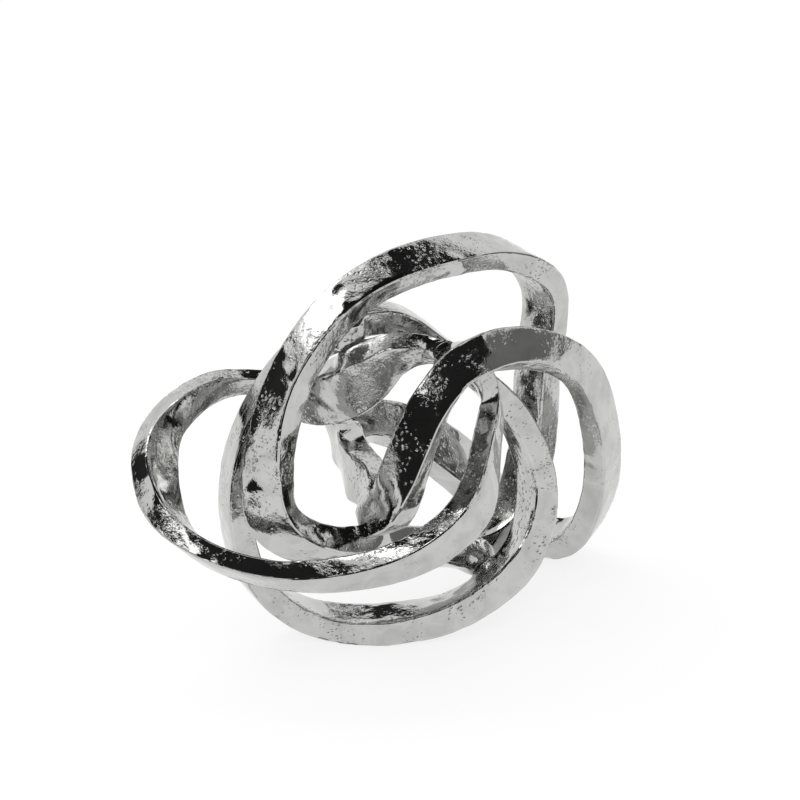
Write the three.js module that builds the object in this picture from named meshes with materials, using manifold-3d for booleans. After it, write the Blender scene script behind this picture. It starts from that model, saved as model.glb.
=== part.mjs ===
// Chain sculpture: four closed cast-metal links threaded through one another.
// Each link is two half castings, closed around its neighbours and welded at two seams.
// The links are also welded where they touch, so the knot stands as one rigid piece.
import * as THREE from "three";
import Module from "manifold-3d";

const wasm = await Module();
wasm.setup();

// Lengths in mm, angles in degrees.
const SPAN = 271; // from the left link's middle line to the right link's, at their widest
const THICKNESS = 18; // cast band, through the loop's wall
const WIDTH = 27; // cast band, across the loop's wall
const SQUARENESS = 7; // power of the section's outline: 2 is an oval, higher is squarer
const SEAM = 0.3; // weld line between two half castings
const SEAT = 0.2; // weld line between two links that touch, and the least gap between any two
const GROUND = 2.5; // ground off below, so that the knot stands flat
const SIGHT = 30; // the paths are laid out as seen from the front, looking down this much
const SECTION_POINTS = 16;
const HALF_STEPS = 36;

// Each station of a path is [across, up, away, roll, girth] along the middle of its band:
// three lengths as seen, the turn of the section, and its size against THICKNESS and WIDTH.
// The lengths keep their shares of SPAN.
const LINKS = {
  base: {
    halves: ["upper", "lower"],
    path: [
      [99, 96, -3, -12, 1.02], [81, 141, -23, -8, 1], [47, 171, -44, 0, 1], [6, 194, -66, 0, 1],
      [-44, 170, -79, 0, 1], [-78, 120, -76, 0, 1], [-84, 75, -60, 0, 1], [-71, 35, -33, 0, 1],
      [-38, 14, -11, -10, 1], [8, 10, -12, -8, 1.08], [55.5, 21.5, -4, 8, 1.17],
      [90.5, 53.5, 2, 6, 1.21],
    ],
  },
  top: {
    halves: ["left", "right"],
    path: [
      [-61, 75, -98, -36, 1.14], [-64, 107, -108, -13, 1.11], [-55, 149, -114, 0, 1.07],
      [-34, 187, -114, -6, 1.02], [-5, 215, -100, -20, 0.97], [38, 232.5, -76, -26, 0.97],
      [79, 235, -45, -12, 0.9], [102.5, 216, -20, 12, 1.02], [99, 167, 8, 8, 1.02],
      [96, 118, 28, 0, 1.07], [84, 78, 34, 0, 1.12], [56, 56, 24, -10, 1.24],
      [20, 61, -26, -25, 1.24], [-35, 61, -80, -35, 1.12],
    ],
  },
  right: {
    halves: ["front", "back"],
    path: [
      [-9, 103, -50, 0, 1.12], [-2, 89, -63, 5, 1.2], [5, 79, -77, -5, 1.2],
      [12, 86, -89, -8, 1.12], [17, 101, -96, -22, 1.08], [25, 124, -103, -28, 1],
      [37, 148, -109, -25, 0.96], [56, 169, -108, -18, 0.98], [87, 178, -82, -4, 0.95],
      [123.5, 166, -38, -30, 0.92], [138, 124, 5, -37, 0.97], [136, 86, 42, -48, 0.97],
      [122, 62, 68, -45, 0.97], [99, 61, 80, -25, 0.97], [78, 80, 71, 0, 1.06],
      [48, 109, 38, 16, 1.2], [18, 129, 10, 12, 1.08], [-6, 134, -6, 5, 0.98],
      [-20, 128, -20, 0, 0.98], [-15, 117, -35, -5, 1.08],
    ],
  },
  left: {
    halves: ["back", "front"],
    path: [
      [-133, 110, -86, 53, 1.05], [-125, 133.5, -72, 44, 0.89], [-100, 153.5, -58, 30, 0.73],
      [-71, 157, -48, 22, 0.62], [-41, 149, -53, 35, 1.2], [-15, 160, -70.6, 42, 1.38],
      [10, 177, -90, 27, 0.98], [36, 177, -89, 2, 0.72], [58, 168, -76, -4, 0.8],
      [70, 147, -64, -10, 0.82], [68, 121, -72, -15, 0.89], [56.5, 77, -96, -29, 1.04],
      [15, 49, -112, -16, 0.95], [-51, 40, -116, 0, 0.85], [-100, 53, -112, 10, 0.83],
      [-126, 76, -100, 30, 1.02],
    ],
  },
};
const TOUCHING = ["base top", "base left", "top right", "right left"];
const STANDING = ["base", "right"];

// How the paths are moved until the links touch where they should and are clear elsewhere.
const SETTLE_ROUNDS = 80;
const SETTLE_PLACES = 240;
const SETTLE_REACH = 2; // stations to each side that follow a move

const radians = THREE.MathUtils.degToRad;

// How far apart the outermost stations are laid out.
const laidOutAcross = Object.values(LINKS).flatMap(({ path }) => path.map(([across]) => across));
const laidOutSpan = Math.max(...laidOutAcross) - Math.min(...laidOutAcross);

// A station's place in the part's frame, at the part's size.
function placed([across, up, away]) {
  const tilt = radians(SIGHT);
  return new THREE.Vector3(
    across,
    up * Math.sin(tilt) + away * Math.cos(tilt),
    up * Math.cos(tilt) - away * Math.sin(tilt),
  ).multiplyScalar(SPAN / laidOutSpan);
}

// The direction that a closed path turns about.
function turningAxis(points) {
  const axis = new THREE.Vector3();
  points.forEach((point, i) => {
    axis.add(point.clone().cross(points[(i + 1) % points.length]));
  });
  return axis.normalize();
}

// A link's middle line, and the turn and size of its section along it.
function linkOf({ halves, path }) {
  const points = path.map(placed);
  const sections = path.map(([, , , roll, girth]) => new THREE.Vector3(radians(roll), girth, 0));
  return {
    halves,
    curve: new THREE.CatmullRomCurve3(points, true),
    section: new THREE.CatmullRomCurve3(sections, true, "catmullrom", 0.5),
    axis: turningAxis(points),
  };
}

// The band's outline round one place of a link.
function outlineAt({ curve, section, axis }, t) {
  const centre = curve.getPoint(t);
  const along = curve.getTangent(t);
  const side = axis.clone().addScaledVector(along, -axis.dot(along)).normalize();
  const out = along.clone().cross(side);
  const { x: roll, y: girth } = section.getPoint(t);
  const power = 2 / SQUARENESS;
  return Array.from({ length: SECTION_POINTS }, (_, k) => {
    const angle = (2 * Math.PI * k) / SECTION_POINTS;
    const c = Math.cos(angle);
    const s = Math.sin(angle);
    const x = (THICKNESS / 2) * girth * Math.sign(c) * Math.abs(c) ** power;
    const y = (WIDTH / 2) * girth * Math.sign(s) * Math.abs(s) ** power;
    return centre.clone()
      .addScaledVector(out, x * Math.cos(roll) - y * Math.sin(roll))
      .addScaledVector(side, x * Math.sin(roll) + y * Math.cos(roll));
  });
}

// How far an outline reaches in a direction.
function reachOf(outline, direction) {
  return Math.max(...outline.map((point) => point.dot(direction)));
}

// Places along a link with their outlines.
function placesOf(link) {
  return Array.from({ length: SETTLE_PLACES }, (_, i) => {
    const t = i / SETTLE_PLACES;
    return { t, centre: link.curve.getPoint(t), outline: outlineAt(link, t) };
  });
}

// Where two links come closest: the gap, its direction and the two places.
function closest(places, others) {
  let found = { gap: Infinity };
  const across = new THREE.Vector3();
  for (const a of places) {
    for (const b of others) {
      across.subVectors(b.centre, a.centre);
      if (across.length() > 2 * WIDTH) continue;
      across.normalize();
      const gap = -reachOf(b.outline, across.clone().negate()) - reachOf(a.outline, across);
      if (gap < found.gap) found = { gap, across: across.clone(), a: a.t, b: b.t };
    }
  }
  return found;
}

// Moves a link at one place, and the stations around it less the further they are.
function move(link, t, direction, distance) {
  const { points } = link.curve;
  points.forEach((point, i) => {
    const turns = i / points.length - t;
    const stations = Math.abs(turns - Math.round(turns)) * points.length;
    const share = Math.cos((Math.PI / 2) * Math.min(stations / SETTLE_REACH, 1)) ** 2;
    point.addScaledVector(direction, distance * share);
  });
}

// The height of a link's lowest place, and that place.
function lowest(places) {
  const down = new THREE.Vector3(0, 0, -1);
  const heights = places.map((place) => -reachOf(place.outline, down));
  const height = Math.min(...heights);
  return { height, t: places[heights.indexOf(height)].t };
}

// Moves the paths until touching links are SEAT apart and no two are closer,
// and the links that stand are down on one level. Returns that level.
function settle(links) {
  const names = Object.keys(links);
  const up = new THREE.Vector3(0, 0, 1);
  for (let round = 0; round < SETTLE_ROUNDS; round++) {
    const places = names.map((name) => placesOf(links[name]));
    names.forEach((name, i) => {
      names.slice(i + 1).forEach((other, k) => {
        const { gap, across, a, b } = closest(places[i], places[i + 1 + k]);
        const touch = TOUCHING.includes(`${name} ${other}`);
        if (gap === Infinity || (gap > SEAT && !touch)) return;
        move(links[name], a, across, (gap - SEAT) / 2);
        move(links[other], b, across, (SEAT - gap) / 2);
      });
    });
    const feet = STANDING.map((name) => lowest(places[names.indexOf(name)]));
    feet.slice(1).forEach((foot, i) => {
      move(links[STANDING[i + 1]], foot.t, up, feet[0].height - foot.height);
    });
  }
  return lowest(placesOf(links[STANDING[0]])).height;
}

// The share of a closed curve that a short length takes up at one place.
function stepFor(curve, t, length) {
  const nearby = 0.001;
  return (nearby * length) / curve.getPoint(t).distanceTo(curve.getPoint(t + nearby));
}

// The band of a link from one place to another, as a closed surface.
function bandGeometry(link, start, finish) {
  const n = SECTION_POINTS;
  const points = [];
  for (let step = 0; step <= HALF_STEPS; step++) {
    points.push(...outlineAt(link, start + ((finish - start) * step) / HALF_STEPS));
  }
  const faces = [];
  for (let step = 0; step < HALF_STEPS; step++) {
    for (let k = 0; k < n; k++) {
      const a = step * n + k;
      const b = step * n + ((k + 1) % n);
      faces.push(a, a + n, b, b, a + n, b + n);
    }
  }
  const last = HALF_STEPS * n;
  for (let k = 1; k < n - 1; k++) {
    faces.push(0, k, k + 1, last, last + k + 1, last + k);
  }
  return new THREE.BufferGeometry().setFromPoints(points).setIndex(faces);
}

// A casting ground flat at a height, where it reaches below it.
function groundFlat(geometry, height) {
  const triVerts = new Uint32Array(geometry.index.array);
  const vertProperties = geometry.getAttribute("position").array;
  const casting = new wasm.Manifold(new wasm.Mesh({ numProp: 3, vertProperties, triVerts }));
  const ground = casting.trimByPlane([0, 0, 1], height).getMesh();
  return new THREE.BufferGeometry()
    .setAttribute("position", new THREE.BufferAttribute(ground.vertProperties, 3))
    .setIndex(new THREE.BufferAttribute(ground.triVerts, 1));
}

const links = {};
for (const [name, layout] of Object.entries(LINKS)) {
  links[name] = linkOf(layout);
}
const floor = settle(links) + GROUND;

const metal = new THREE.MeshStandardMaterial({ color: 0xc9cbcd, metalness: 1, roughness: 0.25 });
const part = new THREE.Group();
part.name = "chain_sculpture";
for (const [name, link] of Object.entries(links)) {
  link.halves.forEach((half, i) => {
    const start = i / 2 + stepFor(link.curve, i / 2, SEAM / 2);
    const finish = (i + 1) / 2 - stepFor(link.curve, (i + 1) / 2, SEAM / 2);
    const casting = bandGeometry(link, start, finish);
    const mesh = new THREE.Mesh(groundFlat(casting, floor), metal);
    mesh.name = `${name}_link_${half}_half`;
    part.add(mesh);
  });
}

// The part's frame: the middle of its footprint, on the floor.
const middle = new THREE.Box3().setFromObject(part).getCenter(new THREE.Vector3());
for (const mesh of part.children) {
  mesh.geometry.translate(-middle.x, -middle.y, -floor);
}

export default part;
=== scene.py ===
"""Chain sculpture: closed links of hammered cast metal, plated bright and threaded into a knot."""

import math
from typing import NamedTuple

import bmesh
import bpy
from bpy.props import FloatProperty, FloatVectorProperty, IntProperty, PointerProperty
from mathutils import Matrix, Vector, noise
from mathutils.bvhtree import BVHTree


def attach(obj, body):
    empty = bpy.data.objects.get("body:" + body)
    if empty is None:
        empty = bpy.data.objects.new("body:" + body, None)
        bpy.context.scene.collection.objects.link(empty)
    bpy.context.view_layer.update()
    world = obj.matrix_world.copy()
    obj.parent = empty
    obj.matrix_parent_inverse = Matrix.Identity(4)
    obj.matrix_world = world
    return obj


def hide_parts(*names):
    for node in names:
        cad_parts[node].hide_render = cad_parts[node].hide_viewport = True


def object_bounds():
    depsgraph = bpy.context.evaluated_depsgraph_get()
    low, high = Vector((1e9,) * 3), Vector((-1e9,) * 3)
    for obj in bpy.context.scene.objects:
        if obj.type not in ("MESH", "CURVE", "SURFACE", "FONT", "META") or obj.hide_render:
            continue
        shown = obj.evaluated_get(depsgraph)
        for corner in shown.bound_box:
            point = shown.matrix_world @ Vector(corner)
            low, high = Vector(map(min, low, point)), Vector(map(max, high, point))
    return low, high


bl_info = {
    "name": "Chain Sculpture",
    "version": (1, 0, 0),
    "blender": (4, 5, 0),
    "location": "View3D > Sidebar > Sculpture",
    "description": "Dresses the links of a cast chain sculpture and sets its stage",
    "category": "Object",
}

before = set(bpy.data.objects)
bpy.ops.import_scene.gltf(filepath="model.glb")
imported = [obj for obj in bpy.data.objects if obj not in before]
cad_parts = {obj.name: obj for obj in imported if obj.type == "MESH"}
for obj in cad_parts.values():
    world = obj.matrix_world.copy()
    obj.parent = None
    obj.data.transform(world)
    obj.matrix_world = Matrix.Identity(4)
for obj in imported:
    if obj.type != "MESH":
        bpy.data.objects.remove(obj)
CAD_BOX = [list(corner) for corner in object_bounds()]

MM = 0.001
LINKS = ("base", "top", "right", "left")
# The links that touch, with the size of the weld between them against the common one.
WELDS = {("base", "top"): 1, ("base", "left"): 1.2, ("top", "right"): 1.6, ("left", "right"): 1}
BODY = "root"

# The picture is square. The camera looks down at this angle, takes in this width, and aims at this
# point, given as the distance to the right of the origin and up from it in the picture.
SIGHT = math.radians(30)
PICTURE_WIDTH = 488 * MM
PICTURE_CENTRE = (13.7 * MM, 134.8 * MM)

# Corners nearer than this, as across a weld seam, are one corner of the whole link.
SEAM_REACH = 0.6 * MM
# Faces this low are the flats that the links stand on.
GROUND_REACH = 0.01 * MM
# Two triangles make a quad where they bend less than the first angle and its corners stray from
# square by less than the second.
QUAD_BEND = math.radians(40)
QUAD_SKEW = math.radians(60)
# The band's long corners turn more sharply than this, and its bends less.
ARRIS_ANGLE = math.radians(25)

# The skin's turn along one edge of the mesh at which the painted highlight on the arrises starts,
# and at which it is full.
HIGHLIGHT_START = 0.2
HIGHLIGHT_FULL = 0.5

# How rough the skin is on average, how far that swings from patch to patch, and the least it gets.
# A patch is this many casting pits wide.
ROUGH_AVERAGE = 0.4
ROUGH_SWING = 1.5
ROUGH_LEAST = 0.05
PATCH_PITS = 10

# The strength of the cast grain where the skin is smoothest, against the roughest patches.
SMOOTH_GRAIN = 0.2
# A pinhole's floor and its rim, as distances from its middle in pinhole spacings.
PINHOLE_FLOOR = 0.12
PINHOLE_RIM = 0.34
# The noise levels at which a streak starts and is fully coloured.
STREAK_START = 0.4
STREAK_FULL = 0.7

# The share of the floor's white that the lamps and surroundings light, so that it takes a shadow.
PAPER_LIT = 0.22
FLOOR_WIDTH = 12

# How far the softboxes, and all flags but one, stand from the sculpture's middle.
FLAG_DISTANCE = 1.2
SOFTBOX_DISTANCE = 1.1


class Flag(NamedTuple):
    """A cloth that the metal mirrors, with its angles in degrees and its sizes in metres.

    Azimuth 0 is behind the sculpture, and 90 to its right.
    """

    name: str
    azimuth: float
    elevation: float
    width: float
    height: float
    weave: str = "black"
    distance: float = FLAG_DISTANCE


class Softbox(NamedTuple):
    """A soft rectangular lamp, placed and sized as a flag is."""

    name: str
    azimuth: float
    elevation: float
    width: float
    height: float
    watts: float


FLAGS = (
    Flag("front_flag", azimuth=-155, elevation=38, width=2.3, height=2.15),
    Flag("front_right_flag", azimuth=138, elevation=47, width=1.5, height=0.7),
    Flag("left_flag", azimuth=-74, elevation=12, width=0.66, height=0.6),
    Flag("arm_flag", azimuth=-88, elevation=68, width=0.4, height=0.2),
    Flag("back_flag", azimuth=-3, elevation=20, width=0.4, height=0.3),
    Flag("crown_flag", azimuth=42, elevation=60, width=1.1, height=0.5),
    Flag("near_flag", azimuth=0, elevation=86, width=0.13, height=0.06, distance=0.226),
    Flag("right_flag", azimuth=88, elevation=21, width=1.3, height=0.66, weave="grey"),
)
SOFTBOXES = (
    Softbox("left_softbox", azimuth=-60, elevation=53, width=0.74, height=0.46, watts=2),
    Softbox("top_softbox", azimuth=-38, elevation=82, width=0.21, height=0.17, watts=0.33),
    Softbox("front_softbox", azimuth=-138, elevation=38, width=0.6, height=0.2, watts=0.8),
)


def linear(hex_colour):
    """An sRGB hex colour as linear red, green and blue."""
    channels = [int(hex_colour[i : i + 2], 16) / 255 for i in (1, 3, 5)]
    return [c / 12.92 if c <= 0.04045 else ((c + 0.055) / 1.055) ** 2.4 for c in channels]


class SculptureBand(bpy.types.PropertyGroup):
    """The links' cast and hammered skin."""

    levels: IntProperty(
        name="Smoothing",
        description="Times that the band is subdivided",
        default=3,
        min=0,
        max=3,
    )
    arris: FloatProperty(
        name="Arris",
        description="How sharp the band's long corners stay",
        default=0.75,
        min=0,
        max=1,
        subtype="FACTOR",
    )
    sway_length: FloatProperty(
        name="Sway length",
        description="Distance between the hand-made band's swells",
        default=26 * MM,
        unit="LENGTH",
    )
    sway_depth: FloatProperty(
        name="Sway depth",
        description="How much thinner the band gets between its swells",
        default=1 * MM,
        unit="LENGTH",
    )
    dent_length: FloatProperty(
        name="Dent size",
        description="Width of a hammer mark",
        default=8 * MM,
        unit="LENGTH",
    )
    dent_depth: FloatProperty(
        name="Dent depth",
        description="Depth of a hammer mark",
        default=0.7 * MM,
        unit="LENGTH",
    )
    pit_length: FloatProperty(
        name="Pit size",
        description="Width of a casting pit",
        default=2 * MM,
        unit="LENGTH",
    )
    pit_depth: FloatProperty(
        name="Pit depth",
        description="Depth of a casting pit",
        default=0.25 * MM,
        unit="LENGTH",
    )
    weld_radius: FloatProperty(
        name="Weld",
        description="Radius of the weld between two links that touch",
        default=7 * MM,
        unit="LENGTH",
    )


class SculptureFinish(bpy.types.PropertyGroup):
    """The bright plating on the cast metal."""

    colour: FloatVectorProperty(
        name="Plating",
        description="Colour of the bright plating",
        default=linear("#c3c3c1"),
        size=3,
        min=0,
        max=1,
        subtype="COLOR",
    )
    streak_colour: FloatVectorProperty(
        name="Streaks",
        description="Colour of the plating's faint darker streaks",
        default=linear("#b2b2b1"),
        size=3,
        min=0,
        max=1,
        subtype="COLOR",
    )
    # Painted highlight: a lighter colour along the arrises that stands in for their bright rims of
    # reflected light.
    arris_highlight_colour: FloatVectorProperty(
        name="Highlighted arrises",
        description="Colour of the arrises, painted bright",
        default=linear("#e2e2e1"),
        size=3,
        min=0,
        max=1,
        subtype="COLOR",
    )
    polish: FloatProperty(
        name="Polished roughness",
        description="Roughness of the polished skin",
        default=0.04,
        subtype="FACTOR",
    )
    dull: FloatProperty(
        name="Dull roughness",
        description="Roughness of the rough patches, which the polish never reached",
        default=0.13,
        subtype="FACTOR",
    )
    grain_length: FloatProperty(
        name="Grain size",
        description="Width of the cast grain under the plating",
        default=2.8 * MM,
        unit="LENGTH",
    )
    grain_depth: FloatProperty(
        name="Grain depth",
        description="Depth of the cast grain where the skin is roughest",
        default=0.36 * MM,
        unit="LENGTH",
    )
    pinhole_spacing: FloatProperty(
        name="Pinhole spacing",
        description="Distance between the pinholes in the casting",
        default=3 * MM,
        unit="LENGTH",
    )
    pinhole_depth: FloatProperty(
        name="Pinhole depth",
        description="Depth of a pinhole where the skin is roughest",
        default=0.3 * MM,
        unit="LENGTH",
    )
    streak_length: FloatProperty(
        name="Streak width",
        description="Width of the plating's streaks",
        default=14 * MM,
        unit="LENGTH",
    )


class SculptureStage(bpy.types.PropertyGroup):
    """The floor, the cloths round the sculpture, the light and the camera."""

    floor_colour: FloatVectorProperty(
        name="Floor",
        description="Colour of the floor and the surroundings",
        default=linear("#ffffff"),
        size=3,
        min=0,
        max=1,
        subtype="COLOR",
    )
    black_colour: FloatVectorProperty(
        name="Black cloth",
        description="Colour of the black flags",
        default=linear("#3c3c3c"),
        size=3,
        min=0,
        max=1,
        subtype="COLOR",
    )
    grey_colour: FloatVectorProperty(
        name="Grey cloth",
        description="Colour of the grey flag",
        default=linear("#a2a2a2"),
        size=3,
        min=0,
        max=1,
        subtype="COLOR",
    )
    camera_distance: FloatProperty(
        name="Camera distance",
        description="How far the camera stands from the sculpture",
        default=10,
        unit="LENGTH",
    )


class SculptureSettings(bpy.types.PropertyGroup):
    """All that can be changed about the sculpture."""

    band: PointerProperty(type=SculptureBand)
    finish: PointerProperty(type=SculptureFinish)
    stage: PointerProperty(type=SculptureStage)


def put_in_scene(name, data):
    """A new object with this data, in the scene."""
    holder = bpy.data.objects.new(name, data)
    bpy.context.scene.collection.objects.link(holder)
    return holder


def blank_material(name):
    """A new material with no nodes yet."""
    material = bpy.data.materials.new(name)
    material.use_nodes = True
    material.node_tree.nodes.clear()
    return material


def add_node(tree, kind, inputs=None, **settings):
    """A node with its settings, and its inputs set to values or linked from other nodes' sockets."""
    node = tree.nodes.new(kind)
    for name, value in settings.items():
        setattr(node, name, value)
    for name, value in (inputs or {}).items():
        if isinstance(value, bpy.types.NodeSocket):
            tree.links.new(value, node.inputs[name])
        else:
            node.inputs[name].default_value = value
    return node


def bright_plating(finish):
    """Bright plating over hammered cast aluminium.

    It mirrors its surroundings. The cast grain and pinholes break the picture up into specks,
    faint streaks cloud it, rough patches stay duller and the arrises get a painted highlight, a
    lighter colour.
    """
    material = blank_material("bright_plating_on_cast_aluminium")
    tree = material.node_tree
    place = add_node(tree, "ShaderNodeTexCoord").outputs["Object"]
    rough = add_node(tree, "ShaderNodeAttribute", attribute_name="rough_patches").outputs["Fac"]
    arrises = add_node(tree, "ShaderNodeAttribute", attribute_name="arrises").outputs["Fac"]
    grain = add_node(
        tree,
        "ShaderNodeTexNoise",
        {"Vector": place, "Scale": 1 / finish.grain_length, "Detail": 3.0, "Roughness": 0.6},
    )
    ragged = add_node(
        tree,
        "ShaderNodeVectorMath",
        {0: grain.outputs["Color"], 1: [finish.pinhole_spacing] * 3, 2: place},
        operation="MULTIPLY_ADD",
    )
    specks = add_node(
        tree,
        "ShaderNodeTexVoronoi",
        {"Vector": ragged.outputs["Vector"], "Scale": 1 / finish.pinhole_spacing},
    )
    pinholes = add_node(
        tree,
        "ShaderNodeMapRange",
        {"Value": specks.outputs["Distance"], "From Min": PINHOLE_FLOOR, "From Max": PINHOLE_RIM},
    )
    streaks = add_node(
        tree,
        "ShaderNodeTexNoise",
        {"Vector": place, "Scale": 1 / finish.streak_length, "Detail": 3.0, "Distortion": 0.5},
    )
    cloud = add_node(
        tree,
        "ShaderNodeMapRange",
        {"Value": streaks.outputs["Fac"], "From Min": STREAK_START, "From Max": STREAK_FULL},
    )
    streaked = add_node(
        tree,
        "ShaderNodeMix",
        {"Factor": cloud.outputs["Result"], "A": (*finish.colour, 1), "B": (*finish.streak_colour, 1)},
        data_type="RGBA",
    )
    # Painted highlight: the marked arrises take the lighter highlight colour.
    colour = add_node(
        tree,
        "ShaderNodeMix",
        {"Factor": arrises, "A": streaked.outputs["Result"], "B": (*finish.arris_highlight_colour, 1)},
        data_type="RGBA",
    )
    roughness = add_node(
        tree,
        "ShaderNodeMapRange",
        {"Value": rough, "To Min": finish.polish, "To Max": finish.dull},
    )
    coarseness = add_node(
        tree,
        "ShaderNodeMapRange",
        {"Value": rough, "To Min": SMOOTH_GRAIN, "To Max": 1.0},
    )
    skin = add_node(
        tree,
        "ShaderNodeBump",
        {
            "Height": grain.outputs["Fac"],
            "Strength": coarseness.outputs["Result"],
            "Distance": finish.grain_depth,
        },
    )
    pitted = add_node(
        tree,
        "ShaderNodeBump",
        {
            "Height": pinholes.outputs["Result"],
            "Strength": rough,
            "Distance": finish.pinhole_depth,
            "Normal": skin.outputs["Normal"],
        },
    )
    metal = add_node(
        tree,
        "ShaderNodeBsdfPrincipled",
        {
            "Base Color": colour.outputs["Result"],
            "Metallic": 1.0,
            "Roughness": roughness.outputs["Result"],
            "Normal": pitted.outputs["Normal"],
        },
    )
    add_node(tree, "ShaderNodeOutputMaterial", {"Surface": metal.outputs["BSDF"]})
    return material


def whole_band(halves):
    """A link's two half castings joined into one band, mostly of quads."""
    band = bmesh.new()
    for half in halves:
        band.from_mesh(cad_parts[half].data)
    bmesh.ops.remove_doubles(band, verts=band.verts, dist=SEAM_REACH)
    seam = {corner for edge in band.edges if len(edge.link_faces) > 2 for corner in edge.verts}
    ends = [face for face in band.faces if all(corner in seam for corner in face.verts)]
    bmesh.ops.delete(band, geom=ends, context="FACES")
    ground = [face for face in band.faces if all(c.co.z < GROUND_REACH for c in face.verts)]
    if ground:
        bmesh.ops.dissolve_faces(band, faces=ground)
    bmesh.ops.join_triangles(
        band,
        faces=[face for face in band.faces if len(face.verts) == 3],
        angle_face_threshold=QUAD_BEND,
        angle_shape_threshold=QUAD_SKEW,
    )
    return band


def keep_arrises(band, sharpness):
    """Marks the band's long corners, so that smoothing leaves them worn and not round."""
    crease = band.edges.layers.float.new("crease_edge")
    for edge in band.edges:
        if len(edge.link_faces) == 2 and edge.calc_face_angle() > ARRIS_ANGLE:
            edge[crease] = sharpness


def smoothed(name, band, levels):
    """A new object with the band's mesh, subdivided."""
    mesh = bpy.data.meshes.new(name)
    band.to_mesh(mesh)
    band.free()
    piece = put_in_scene(name, mesh)
    smoothing = piece.modifiers.new("smoothing", "SUBSURF")
    smoothing.levels = levels
    smoothing.render_levels = levels
    seen = piece.evaluated_get(bpy.context.evaluated_depsgraph_get())
    piece.data = bpy.data.meshes.new_from_object(seen)
    piece.modifiers.clear()
    bpy.data.meshes.remove(mesh)
    piece.data.name = name
    return piece


def where_they_touch(band, other):
    """The middle of the gap between two links at its narrowest, and the way across it."""
    pairs = []
    for corners, faced in ((band, other), (other, band)):
        skin = BVHTree.FromBMesh(faced)
        pairs += [(corner.co, *skin.find_nearest(corner.co)) for corner in corners.verts]
    one, far, _, _, gap = min(pairs, key=lambda pair: pair[4])
    return (one + far) / 2, (far - one) / gap


def eased(share):
    """A share between 0 and 1 that starts and stops gently."""
    share = min(1, max(0, share))
    return share * share * (3 - 2 * share)


def weld(piece, place, way, radius):
    """Draws a link's skin out to a weld, which leaves a hollow fillet round it.

    The skin is drawn all the way within the radius, and not at all past twice the radius.
    """
    for corner in piece.data.vertices:
        offset = corner.co - place
        along = offset.dot(way)
        across = (offset - way * along).length
        share = eased(2 - across / radius) * eased(2 - abs(along) / radius)
        corner.co -= way * (along * share)


def mark(piece, name, amounts):
    """Keeps an amount for each corner, for the finish to use."""
    layer = piece.data.attributes.new(name, "FLOAT", "POINT")
    layer.data.foreach_set("value", [min(1, max(0, amount)) for amount in amounts])


def mark_arris_highlight(piece):
    """Marks the outer corners of the band for a painted highlight, by how much the skin bends there.
    """
    corners = piece.data.vertices
    bends = [0] * len(corners)
    for edge in piece.data.edges:
        one, other = (corners[i] for i in edge.vertices)
        way = (other.co - one.co).normalized()
        bend = (other.normal - one.normal).dot(way)
        for i in edge.vertices:
            bends[i] = max(bends[i], bend)
    # The bend sets the painted highlight on the arrises.
    mark(piece, "arrises", [(bend - HIGHLIGHT_START) / (HIGHLIGHT_FULL - HIGHLIGHT_START) for bend in bends])


def swell(place, length):
    """A smooth random share, 0 to 1, that comes and goes over this length."""
    return 0.5 + 0.5 * noise.noise(place / length)


def hammer(piece, band):
    """Sways, dents and pits the skin inwards, and marks its rough patches."""
    depths, patches = [], []
    for corner in piece.data.vertices:
        place = corner.co
        swing = ROUGH_SWING * noise.noise(place / (PATCH_PITS * band.pit_length))
        rough = min(1, max(ROUGH_LEAST, ROUGH_AVERAGE + swing))
        sway = band.sway_depth * swell(place, band.sway_length)
        dent = band.dent_depth * swell(place, band.dent_length)
        pit = band.pit_depth * (rough * swell(place, band.pit_length))
        depths.append(sway + dent + pit)
        patches.append(rough)
    normals = [corner.normal.copy() for corner in piece.data.vertices]
    for corner, normal, depth in zip(piece.data.vertices, normals, depths):
        corner.co -= normal * depth
    mark(piece, "rough_patches", patches)
    piece.data.shade_smooth()


class SCULPTURE_OT_links(bpy.types.Operator):
    """Casts the links as whole bands, hammers them and plates them"""

    bl_idname = "sculpture.links"
    bl_label = "Cast the links"

    def execute(self, context):
        settings = context.scene.sculpture
        plating = bright_plating(settings.finish)
        halves = {
            link: sorted(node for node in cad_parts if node.startswith(f"{link}_link_"))
            for link in LINKS
        }
        for link, nodes in halves.items():
            if len(nodes) != 2:
                raise RuntimeError(f"The {link} link needs two halves, and the frame has {len(nodes)}")
        bands = {link: whole_band(halves[link]) for link in LINKS}
        welds = {
            pair: (*where_they_touch(*(bands[link] for link in pair)), share)
            for pair, share in WELDS.items()
        }
        for link, band in bands.items():
            keep_arrises(band, settings.band.arris)
            piece = smoothed(f"{link}_link", band, settings.band.levels)
            # The arrises are marked for a painted highlight.
            mark_arris_highlight(piece)
            hammer(piece, settings.band)
            for pair, (place, way, share) in welds.items():
                if link in pair:
                    weld(piece, place, way, share * settings.band.weld_radius)
            piece.data.materials.clear()
            piece.data.materials.append(plating)
            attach(piece, BODY)
            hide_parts(*halves[link])
        return {"FINISHED"}


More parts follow.
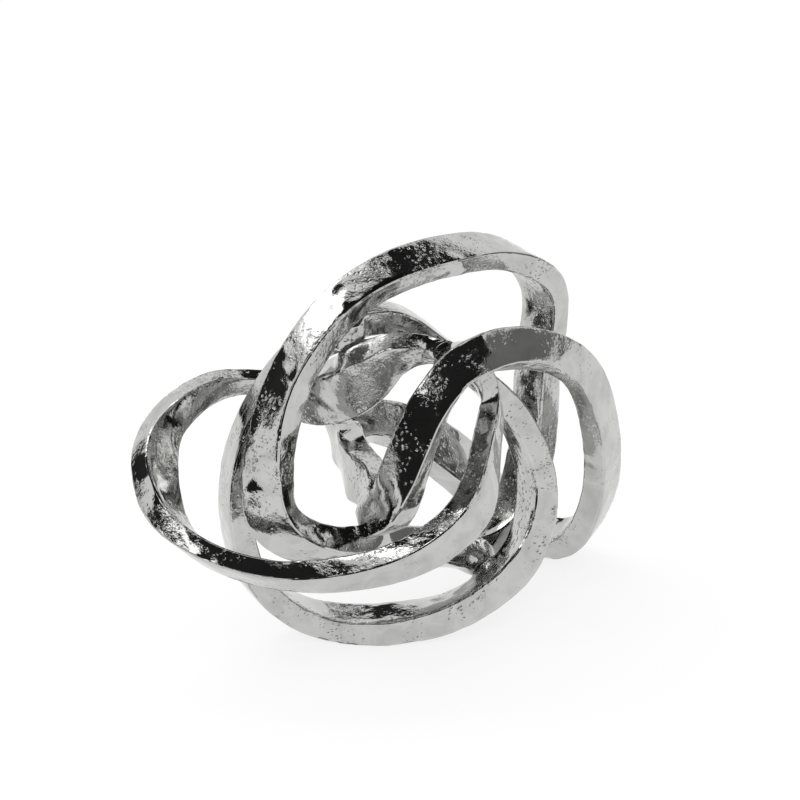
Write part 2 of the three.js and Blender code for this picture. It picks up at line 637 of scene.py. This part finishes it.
def pale_floor(colour):
    """White studio paper: it keeps the shadow, and is white to the eye and in the metal."""
    material = blank_material("white_studio_paper")
    tree = material.node_tree
    path = add_node(tree, "ShaderNodeLightPath").outputs
    eye = add_node(
        tree,
        "ShaderNodeMath",
        {0: path["Is Camera Ray"], 1: path["Is Glossy Ray"]},
        operation="MAXIMUM",
    )
    seen = add_node(
        tree,
        "ShaderNodeMath",
        {0: eye.outputs["Value"], 1: path["Is Transmission Ray"]},
        operation="MAXIMUM",
    )
    glow = add_node(
        tree,
        "ShaderNodeMath",
        {0: seen.outputs["Value"], 1: 1 - PAPER_LIT},
        operation="MULTIPLY",
    )
    lit_colour = [PAPER_LIT * channel for channel in colour]
    paper = add_node(tree, "ShaderNodeBsdfDiffuse", {"Color": (*lit_colour, 1)})
    lift = add_node(
        tree,
        "ShaderNodeEmission",
        {"Color": (*colour, 1), "Strength": glow.outputs["Value"]},
    )
    both = add_node(
        tree,
        "ShaderNodeAddShader",
        {0: paper.outputs["BSDF"], 1: lift.outputs["Emission"]},
    )
    add_node(tree, "ShaderNodeOutputMaterial", {"Surface": both.outputs["Shader"]})
    return material


def cloth(name, colour):
    """Dull studio cloth, which gives the metal its dark sides."""
    material = blank_material(name)
    tree = material.node_tree
    weave = add_node(tree, "ShaderNodeBsdfDiffuse", {"Color": (*colour, 1)})
    add_node(tree, "ShaderNodeOutputMaterial", {"Surface": weave.outputs["BSDF"]})
    return material


def sheet(name, width, height, material):
    """A flat sheet in the stage, facing up."""
    shape = bmesh.new()
    bmesh.ops.create_grid(shape, x_segments=1, y_segments=1, size=0.5)
    bmesh.ops.scale(shape, vec=(width, height, 1), verts=shape.verts)
    mesh = bpy.data.meshes.new(name)
    shape.to_mesh(mesh)
    shape.free()
    mesh.materials.append(material)
    piece = put_in_scene(name, mesh)
    return piece


def face_middle(holder, azimuth, elevation, distance):
    """Places a flag or a lamp that far from the sculpture's middle, turned towards it."""
    across, up = math.radians(azimuth), math.radians(elevation)
    middle = Vector((0, 0, (CAD_BOX[0][2] + CAD_BOX[1][2]) / 2))
    outwards = Vector((math.sin(across), math.cos(across), 0)) * math.cos(up)
    outwards.z = math.sin(up)
    holder.location = middle + outwards * distance
    holder.rotation_euler = outwards.to_track_quat("Z", "Y").to_euler()


def hang_flag(flag, weave):
    """A cloth flag that only the metal sees."""
    holder = sheet(flag.name, flag.width, flag.height, weave)
    face_middle(holder, flag.azimuth, flag.elevation, flag.distance)
    holder.visible_camera = False
    holder.visible_diffuse = False
    holder.visible_shadow = False


def set_softbox(softbox):
    """A soft rectangular lamp that faces the sculpture."""
    lamp = bpy.data.lights.new(softbox.name, "AREA")
    lamp.shape = "RECTANGLE"
    lamp.size = softbox.width
    lamp.size_y = softbox.height
    lamp.energy = softbox.watts
    holder = put_in_scene(softbox.name, lamp)
    face_middle(holder, softbox.azimuth, softbox.elevation, SOFTBOX_DISTANCE)


def white_surroundings(colour):
    """Evenly white surroundings, to the eye and in the metal."""
    world = bpy.data.worlds.new("white_surroundings")
    bpy.context.scene.world = world
    world.use_nodes = True
    world.node_tree.nodes.clear()
    glow = add_node(world.node_tree, "ShaderNodeBackground", {"Color": (*colour, 1), "Strength": 1.0})
    add_node(world.node_tree, "ShaderNodeOutputWorld", {"Surface": glow.outputs["Background"]})


def set_camera(distance):
    """The camera of the picture, with a long lens."""
    camera = bpy.data.cameras.new("camera")
    camera.sensor_width = 36
    camera.lens = camera.sensor_width * distance / PICTURE_WIDTH
    holder = put_in_scene("camera", camera)
    across, up = PICTURE_CENTRE
    aim = Vector((across, up * math.sin(SIGHT), up * math.cos(SIGHT)))
    view = Vector((0, math.cos(SIGHT), -math.sin(SIGHT)))
    holder.location = aim - view * distance
    holder.rotation_euler = view.to_track_quat("-Z", "Y").to_euler()
    bpy.context.scene.camera = holder


class SCULPTURE_OT_stage(bpy.types.Operator):
    """Sets the floor, the cloths, the light and the camera"""

    bl_idname = "sculpture.stage"
    bl_label = "Set the stage"

    def execute(self, context):
        stage = context.scene.sculpture.stage
        context.scene.view_settings.view_transform = "Standard"
        white_surroundings(stage.floor_colour)
        sheet("floor", FLOOR_WIDTH, FLOOR_WIDTH, pale_floor(stage.floor_colour))
        weaves = {
            "black": cloth("black_studio_cloth", stage.black_colour),
            "grey": cloth("grey_studio_cloth", stage.grey_colour),
        }
        for flag in FLAGS:
            hang_flag(flag, weaves[flag.weave])
        for softbox in SOFTBOXES:
            set_softbox(softbox)
        set_camera(stage.camera_distance)
        return {"FINISHED"}


class SCULPTURE_PT_panel(bpy.types.Panel):
    """Lists the sculpture's settings and its makers"""

    bl_idname = "SCULPTURE_PT_panel"
    bl_label = "Chain Sculpture"
    bl_space_type = "VIEW_3D"
    bl_region_type = "UI"
    bl_category = "Sculpture"

    def draw(self, context):
        settings = context.scene.sculpture
        for group in (settings.band, settings.finish, settings.stage):
            for name in group.__annotations__:
                self.layout.prop(group, name)
        self.layout.operator(SCULPTURE_OT_links.bl_idname)
        self.layout.operator(SCULPTURE_OT_stage.bl_idname)


CLASSES = (
    SculptureBand,
    SculptureFinish,
    SculptureStage,
    SculptureSettings,
    SCULPTURE_OT_links,
    SCULPTURE_OT_stage,
    SCULPTURE_PT_panel,
)


def register():
    for cls in CLASSES:
        bpy.utils.register_class(cls)
    bpy.types.Scene.sculpture = PointerProperty(type=SculptureSettings)


def unregister():
    del bpy.types.Scene.sculpture
    for cls in reversed(CLASSES):
        bpy.utils.unregister_class(cls)


def main():
    register()
    bpy.ops.sculpture.links()
    bpy.ops.sculpture.stage()


if __name__ == "__main__":
    main()
